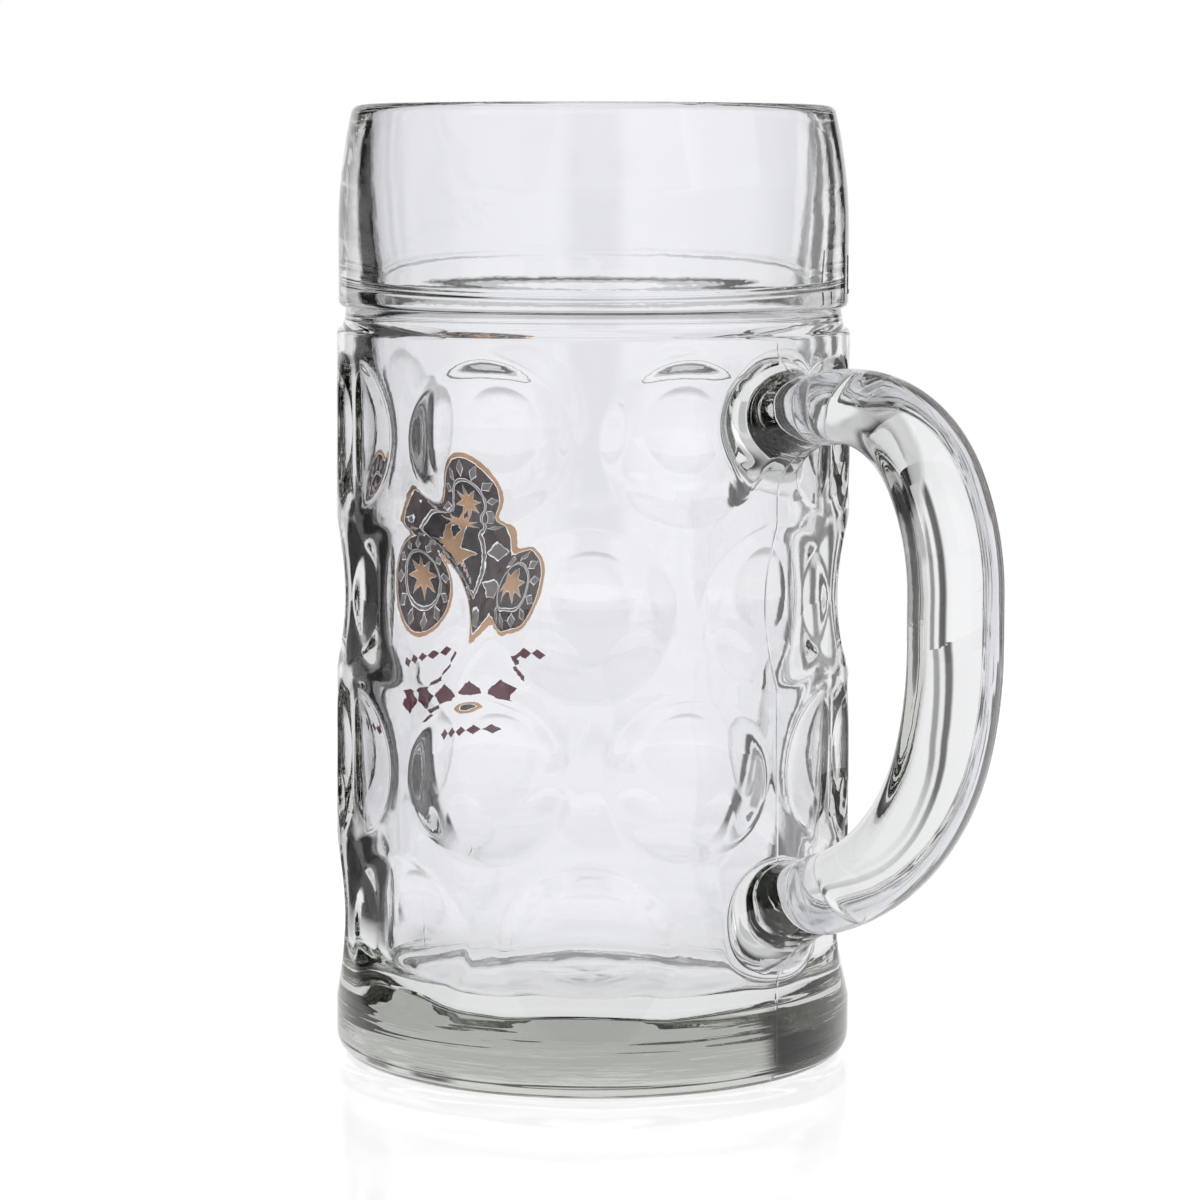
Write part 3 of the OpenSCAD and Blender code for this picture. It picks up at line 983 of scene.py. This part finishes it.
@dataclass
class Ornament:
    """A plain round ornament opposite the handle, of generic lozenges and a star, with a border below it."""

    wall: Wall
    radius: float = 21.5
    rim: float = 1.6
    core: float = 10.4
    gap: float = 0.35
    height: float = 102.0
    lozenges: int = 12
    long_share: float = 0.8
    slim_share: float = 0.62
    star_points: int = 8
    star_inner: float = 0.36
    star_outer: float = 0.84
    border_l: float = 7.6
    border_h: float = 5.0
    border_count: int = 5
    border_drop: float = 31.0
    lift: float = 0.02
    proud: float = 0.1

    def star(self, grow: float) -> np.ndarray:
        """Gives the star's outline, grown by a gap."""
        tips = []
        for i in range(2 * self.star_points):
            r = self.core * (self.star_inner if i % 2 else self.star_outer) + grow
            a = math.pi * i / self.star_points
            tips.append([r * math.cos(a), r * math.sin(a)])
        return along(np.array(tips), steps=9)

    def sector(self, start: float, end: float) -> np.ndarray:
        """Gives the outline of one sector of the ring, with a point for each point of a lozenge's hole.

        Args:
            start: inner radius.
            end: outer radius.

        Returns:
            The outline.
        """

        def side(a: float) -> list[tuple[float, float]]:
            """Lists one half of the outline, from its outer middle to its inner one."""
            outer = [(end, a * t) for t in np.linspace(0, 1, 7)]
            edge = [(end + (start - end) * t, a) for t in np.linspace(0, 1, 13)[1:-1]]
            inner = [(start, a * t) for t in np.linspace(1, 0, 7)]
            return [(r * math.cos(turn), r * math.sin(turn)) for r, turn in outer + edge + inner]

        half = math.pi / self.lozenges
        return np.array(side(half)[:-1] + side(-half)[::-1][:-1])

    def pattern(self, colour: Colour) -> Print:
        """Draws one colour's flat pattern.

        Args:
            colour: which colour.

        Returns:
            Its patches.
        """
        flat = Print()
        inner, outer = self.core + self.rim, self.radius - self.rim
        long = (outer - inner) * self.long_share
        high = long * self.slim_share
        turns = [2 * math.pi * i / self.lozenges for i in range(self.lozenges)]
        spins = [np.array([[math.cos(a), math.sin(a)], [-math.sin(a), math.cos(a)]]) for a in turns]
        if colour is Colour.GOLD:
            flat.band(circle(outer), circle(self.radius), rows=2)
            flat.disc(self.star(0), rows=4)
        elif colour is Colour.BROWN:
            # The brown ends a gap short of the gold, and each hole lies in the middle of what is left
            edge = outer - self.gap
            hole = lozenge(long + 2 * self.gap, high + 2 * self.gap, ((inner + edge) / 2, 0), steps=12)
            line = self.sector(inner, edge)
            for spin in spins:
                flat.band(hole @ spin, line @ spin, rows=3)
        elif colour is Colour.GREY:
            for spin in spins:
                flat.disc(lozenge(long, high, ((inner + outer) / 2, 0), steps=6) @ spin, rows=3)
            flat.band(circle(self.core + self.gap), circle(inner - self.gap), rows=2)
        elif colour is Colour.BLACK:
            star = self.star(self.gap)
            flat.band(star, circle(self.core, len(star)), rows=4)
        else:
            for i in range(self.border_count):
                x = (i - (self.border_count - 1) / 2) * (self.border_l + self.gap)
                flat.disc(lozenge(self.border_l, self.border_h, (x, -self.border_drop), steps=6), rows=3)
        return flat

    def lay(self, flat: Print, name: str, material: Material) -> Object:
        """Lays a pattern on the wall as a thin closed skin.

        Args:
            flat: the pattern.
            name: name of the piece.
            material: its colour.

        Returns:
            The object.
        """
        points = np.round(np.concatenate(flat.points), 4)
        keep, index = np.unique(points, axis=0, return_inverse=True)
        index = index.reshape(-1)
        faces = [tuple(dict.fromkeys(int(index[i]) for i in f)) for f in flat.faces]
        faces = [f for f in faces if len(f) > 2]
        y, z = -keep[:, 0], self.height + keep[:, 1]
        azimuth = self.wall.facing(y, z, -1)
        radius = self.wall.outside(azimuth, z)
        skin = Skin()
        for off in (self.proud, self.lift):
            skin.add(upright(radius + off, azimuth, z))
        n = len(keep)
        for f in faces:
            skin.faces += [f, tuple(i + n for i in reversed(f))]
        # A side that no neighbour shares is closed with a strip
        sides = dict.fromkeys((a, b) for f in faces for a, b in zip(f, f[1:] + f[:1]))
        for a, b in sides:
            if (b, a) not in sides:
                skin.faces.append((b, a, a + n, b + n))
                skin.harden((a, b, a + n, b + n))
        return skin.piece(name, material)

    def build(self, finishes: dict[Colour, FiredEnamel]) -> list[Object]:
        """Makes the skins of all colours.

        Args:
            finishes: finish of each colour.

        Returns:
            The pieces.
        """
        made = []
        for colour in Colour:
            word = colour.value.split("_")[1]
            piece = self.lay(self.pattern(colour), "ornament_" + word, finishes[colour].material())
            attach(piece, BODY)
            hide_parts(colour.value)
            made.append(piece)
        return made


@dataclass
class FillMark:
    """The litre mark on the band: a one, a litre stroke and the level line."""

    band_r: float = 53.5
    azimuth: float = 32.0
    level: float = 161.0
    high: float = 8.0
    stroke: float = 0.8
    pitch: float = 5.1
    line: float = 12.0
    lift: float = 0.02
    proud: float = 0.1

    def bar(self, skin: Skin, place: int, width: float, high: float) -> None:
        """Adds one bar of enamel that stands on the level.

        Args:
            skin: mesh in the making.
            place: how many pitches it is from the first bar.
            width: width along the band.
            high: its height.
        """
        start = math.radians(self.azimuth) + place * self.pitch / self.band_r
        turn = start + np.linspace(0, width / self.band_r, max(2, round(width)) + 1)
        outer, inner = self.band_r + self.proud, self.band_r + self.lift
        low, top = self.level, self.level + high
        rows = []
        for r, z in ((outer, low), (outer, top), (inner, top), (inner, low)):
            rows.append(skin.add(upright(r, turn, np.full(len(turn), z))))
            skin.harden(rows[-1])
        for a, b in zip(rows, rows[1:] + rows[:1]):
            skin.weave(a, b, closed=False)
        first, last = [[int(row[end]) for row in rows] for end in (0, -1)]
        skin.faces += [tuple(first), tuple(reversed(last))]

    def build(self, finish: FiredEnamel) -> Object:
        """Makes the mark.

        Args:
            finish: its enamel.

        Returns:
            The piece.
        """
        skin = Skin()
        bars = ((self.stroke, self.high), (self.stroke, self.high), (self.line, self.stroke))
        for place, (width, high) in enumerate(bars):
            self.bar(skin, place, width, high)
        piece = skin.piece("litre_mark", finish.material())
        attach(piece, BODY)
        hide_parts("fill_mark")
        return piece


@dataclass
class PhotoCamera:
    """The photograph's camera, found from the ellipses of foot and rim."""

    azimuth: float = 46.5
    distance: float = 840.0
    height: float = 186.3
    tilt: float = 6.14
    yaw: float = 0.1
    roll: float = 0.1
    focal_px: float = 3985.6
    frame_px: float = 1200.0
    sensor: float = 36.0
    nearest: float = 10.0

    def forward(self) -> Vector:
        """Gives the level direction from the camera to the mug."""
        a = math.radians(self.azimuth)
        return Vector((-math.sin(a), math.cos(a), 0))

    def right(self) -> Vector:
        """Gives the level direction to the camera's right."""
        ahead = self.forward()
        return Vector((ahead.y, -ahead.x, 0))

    def build(self) -> None:
        """Makes the camera and sets it as the scene's."""
        forward, right, up = self.forward(), self.right(), Vector((0, 0, 1))
        yaw, tilt, roll = (math.radians(v) for v in (self.yaw, self.tilt, self.roll))
        ahead = forward * math.cos(yaw) + right * math.sin(yaw)
        level = right * math.cos(yaw) - forward * math.sin(yaw)
        look = ahead * math.cos(tilt) - up * math.sin(tilt)
        high = ahead * math.sin(tilt) + up * math.cos(tilt)
        across = level * math.cos(roll) + high * math.sin(roll)
        high = high * math.cos(roll) - level * math.sin(roll)
        data = bpy.data.cameras.new("photo_camera")
        data.sensor_width = self.sensor
        data.lens = self.focal_px / self.frame_px * self.sensor
        data.clip_start = self.nearest * MM
        camera = bpy.data.objects.new("photo_camera", data)
        place = -forward * self.distance * MM + up * self.height * MM
        axes = Matrix((across, high, -look)).transposed().to_4x4()
        camera.matrix_world = Matrix.Translation(place) @ axes
        bpy.context.scene.collection.objects.link(camera)
        bpy.context.scene.camera = camera


@dataclass
class Studio:
    """White table, white backdrop, black cards at the sides and soft lamps, as for bright-field glass.

    Angles are in degrees, level ones to the right from the camera's direction. Lengths are in metres.
    """

    camera: PhotoCamera
    floor_radius: float = 0.75
    floor_rings: tuple[float, ...] = (0.2, 0.5, 1.0)
    floor_corners: int = 96
    floor_gap: float = 0.0003
    floor_own: float = 0.9
    floor_seen: float = 0.74
    floor_gloss: float = 0.10
    floor_colour: str = "888888"
    floor_ior: float = 1.25
    floor_white: tuple[float, float] = (0.10, 0.22)
    floor_sides: Stops = (
        (-180, 1.0), (-125, 1.0), (-110, 0.06), (-62, 0.06), (-56, 0.02), (-35, 0.02), (-29, 1.0),
        (21, 1.0), (25, 0.08), (31, 0.08), (34, 0.95), (38, 0.95), (42, 0.3), (48, 0.3), (52, 1.0),
    )
    ambient: float = 0.8
    around: Stops = (
        (-180, 0.1), (-172, 0.1), (-160, 0.6), (-135, 0.4), (-110, 0.06), (-62, 0.06), (-56, 0.02),
        (-35, 0.02), (-29, 1.0), (162, 1.0), (172, 0.1), (180, 0.1),
    )
    card: Stops = (
        (-180, 1.0), (21, 1.0), (25, 0.08), (31, 0.08), (34, 0.95), (38, 0.95), (42, 0.2), (48, 0.2),
        (52, 0.9), (62, 0.9), (68, 0.6), (92, 0.6), (98, 1.0),
    )
    card_top: tuple[float, float] = (6.0, 10.0)
    tops: Stops = (
        (-180, 12), (-35, 12), (-25, 22), (28, 22), (42, 42), (56, 42), (66, 16), (105, 16), (125, 28),
        (162, 28),
    )
    top_soft: float = 12.0
    ceiling: float = 0.03
    fade: tuple[float, float] = (7.0, 12.0)
    fade_to: float = 0.64
    lamps: tuple[tuple[str, tuple[float, float, float], float, float], ...] = (
        ("overhead_softbox", (-0.25, 0.35, 1.1), 1.0, 3.0),
        ("side_softbox", (0.9, 0.5, 0.7), 0.8, 1.2),
    )
    lamp_aim: float = 0.1
    bounces: tuple[int, int, int] = (24, 20, 12)

    def grade(self, node: Node, stops: Stops) -> Node:
        """Sets the stops of a ramp over a bearing.

        Args:
            node: the ramp.
            stops: pairs of degrees and grey.

        Returns:
            The ramp.
        """
        ramp = node.color_ramp
        ramp.interpolation = "EASE"
        while len(ramp.elements) < len(stops):
            ramp.elements.new(0.5)
        for element, (angle, grey) in zip(ramp.elements, stops):
            element.position = angle / 360 + 0.5
            element.color = (grey, grey, grey, 1)
        return node

    def bearing(self, tree: NodeTree, way: NodeSocket) -> Node:
        """Works out the level angle of a direction, to the right from the camera's own.

        Args:
            tree: node tree that takes it.
            way: the direction.

        Returns:
            The angle, as a share of the way from -180 to 180 degrees.
        """
        across, deep = [
            add_node(tree, "VectorMath", {0: way, 1: tuple(axis)}, operation="DOT_PRODUCT").outputs["Value"]
            for axis in (self.camera.right(), self.camera.forward())
        ]
        turn = add_node(tree, "Math", {0: across, 1: deep}, operation="ARCTAN2")
        return add_node(tree, "Math", {0: turn, 1: 0.5 / math.pi, 2: 0.5}, operation="MULTIPLY_ADD")

    def rays(self, tree: NodeTree) -> tuple[NodeSocket, Node]:
        """Tells the kinds of ray apart.

        Args:
            tree: node tree that takes it.

        Returns:
            What is 1 for camera rays, and what is 1 for rays that come from glass.
        """
        path = add_node(tree, "LightPath").outputs
        glass = add_node(tree, "Math", {
            0: path["Is Glossy Ray"], 1: path["Is Transmission Ray"]}, operation="MAXIMUM")
        return path["Is Camera Ray"], glass

    def backdrop(self) -> None:
        """Sets the world: white for the camera, a soft grey as light, and the studio's walls in the glass."""
        world = bpy.data.worlds.new("studio")
        bpy.context.scene.world = world
        tree = empty_tree(world)
        way = add_node(tree, "TexCoord").outputs["Generated"]
        turn = self.bearing(tree, way)
        tops = tuple((angle, height / 90) for angle, height in self.tops)
        top, walls, card = [
            self.grade(add_node(tree, "ValToRGB", {"Fac": turn}), stops)
            for stops in (tops, self.around, self.card)
        ]
        high = add_node(tree, "SeparateXYZ", {"Vector": way}).outputs["Z"]
        rise = add_node(tree, "Math", {0: high}, operation="ARCSINE")
        # Each side's wall has a height of its own, and above it is the dark ceiling
        above = add_node(tree, "Math", {0: top, 1: -math.pi / 2, 2: rise}, operation="MULTIPLY_ADD")
        ceiling = add_node(tree, "MapRange", {
            "Value": above, "From Min": 0.0, "From Max": math.radians(self.top_soft),
            "To Min": 1.0, "To Max": self.ceiling,
        }, interpolation_type="SMOOTHSTEP")
        # The walls are lit from below, so that they are a little dimmer higher up. Two narrow black
        # cards stand low at the right, with a grey one beyond them
        fade, cards = [
            add_node(tree, "MapRange", {
                "Value": rise, "From Min": math.radians(start), "From Max": math.radians(end),
                "To Min": low, "To Max": upper})
            for (start, end), low, upper in ((self.fade, 1.0, self.fade_to), (self.card_top, card, 1.0))
        ]
        for part in (ceiling, fade, cards):
            walls = add_node(tree, "Math", {0: walls, 1: part}, operation="MULTIPLY")
        camera, glass = self.rays(tree)
        plain = add_node(tree, "MapRange", {"Value": camera, "To Min": self.ambient, "To Max": 1.0})
        seen = add_node(tree, "MapRange", {"Value": glass, "To Min": plain, "To Max": walls})
        light = add_node(tree, "Background", {"Color": WHITE, "Strength": seen})
        add_node(tree, "OutputWorld", {"Surface": light})

    def acrylic(self) -> Material:
        """Makes the table's material.

        Returns:
            Glossy white acrylic that glows a little, so that it runs into the backdrop.
        """
        material = bpy.data.materials.new("white_acrylic")
        tree = empty_tree(material)
        shader = add_node(tree, "BsdfPrincipled", {
            "Base Color": linear(self.floor_colour), "Roughness": self.floor_gloss, "IOR": self.floor_ior})
        camera, glass = self.rays(tree)
        seen = add_node(tree, "Math", {0: camera, 1: self.floor_seen}, operation="MULTIPLY")
        glow = add_node(tree, "Emission", {"Color": WHITE, "Strength": seen})
        table = add_node(tree, "AddShader", {0: shader, 1: glow})
        # The dark cards beside the backdrop run on over the table, but not up to the mug
        place = add_node(tree, "TexCoord").outputs["Object"]
        away = add_node(tree, "VectorMath", {0: place}, operation="LENGTH").outputs["Value"]
        turn = self.bearing(tree, place)
        sides = self.grade(add_node(tree, "ValToRGB", {"Fac": turn}), self.floor_sides)
        near, far = self.floor_white
        own = add_node(tree, "MapRange", {
            "Value": away, "From Min": near, "From Max": far, "To Min": 1.0, "To Max": sides})
        white = add_node(tree, "Emission", {"Color": WHITE, "Strength": own})
        # Glass shows the table almost as white as the backdrop
        share = add_node(tree, "Math", {0: glass, 1: self.floor_own}, operation="MULTIPLY")
        both = add_node(tree, "MixShader", {0: share, 1: table, 2: white})
        add_node(tree, "OutputMaterial", {"Surface": both})
        return material

    def floor(self) -> None:
        """Makes the round table that the mug stands on."""
        skin = Skin()
        turn, flat = full_turn(self.floor_corners), np.zeros(self.floor_corners)
        radii = np.array(self.floor_rings) * self.floor_radius
        rows = [skin.add(upright(r, turn, flat) / MM) for r in radii]
        for a, b in zip(rows, rows[1:]):
            skin.weave(b, a)
        skin.fan(rows[0], np.zeros(3), True)
        piece = skin.piece("table", self.acrylic())
        piece.location.z = -self.floor_gap
        piece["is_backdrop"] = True

    def lamp(self, name: str, place: tuple[float, float, float], size: float, power: float) -> None:
        """Hangs a square soft lamp that faces the mug.

        Args:
            name: name of the lamp.
            place: metres to the right, towards the camera and up.
            size: side in metres.
            power: watts.
        """
        data = bpy.data.lights.new(name, "AREA")
        data.shape, data.size, data.energy = "SQUARE", size, power
        lamp = bpy.data.objects.new(name, data)
        aside, towards, up = place
        lamp.location = self.camera.right() * aside - self.camera.forward() * towards + Vector((0, 0, up))
        aim = Vector((0, 0, self.lamp_aim)) - lamp.location
        lamp.rotation_euler = aim.to_track_quat("-Z", "Y").to_euler()
        bpy.context.scene.collection.objects.link(lamp)

    def build(self) -> None:
        """Sets up the whole studio."""
        self.backdrop()
        self.floor()
        for lamp in self.lamps:
            self.lamp(*lamp)
        scene = bpy.context.scene
        scene.view_settings.view_transform = "Standard"
        # Light bounces many times inside a solid rod, and each bounce counts
        cycles = scene.cycles
        cycles.max_bounces, cycles.transmission_bounces, cycles.glossy_bounces = self.bounces


def main() -> None:
    """Builds the mug and its studio, and reports each piece."""
    logging.basicConfig(level=logging.INFO, format="%(name)s: %(message)s")
    vessel = Vessel()
    enamels = {
        Colour.GOLD: FiredEnamel("gold_ceramic_colour", "ffcf9a", "fcbc7e", roughness=0.3, metal=0.7),
        Colour.BROWN: FiredEnamel("brown_ceramic_colour", "6c352c", "50241c"),
        Colour.GREY: FiredEnamel("grey_ceramic_colour", "e6e0d6", "d0c8bc"),
        Colour.BLACK: FiredEnamel("black_ceramic_colour", "33211f", "1f1514"),
        Colour.RED: FiredEnamel("crimson_ceramic_colour", "c03458", "962544"),
    }
    pieces = [
        vessel.build(SodaLimeGlass("blown_soda_lime_glass").material()),
        Handle().build(SodaLimeGlass("pressed_soda_lime_glass", ripple_height=0.004).material()),
        *Ornament(vessel.wall).build(enamels),
        FillMark().build(FiredEnamel("black_mark_enamel", "1c1c1e", "0f0f11")),
    ]
    for piece in pieces:
        size = [round(v / MM, 1) for v in piece.dimensions]
        LOG.info("%s: %d faces, size %s mm", piece.name, len(piece.data.polygons), size)
    camera = PhotoCamera()
    camera.build()
    Studio(camera).build()
    {"cad": CAD_BOX, "visual": corners(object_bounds())}


if __name__ == "__main__":
    main()
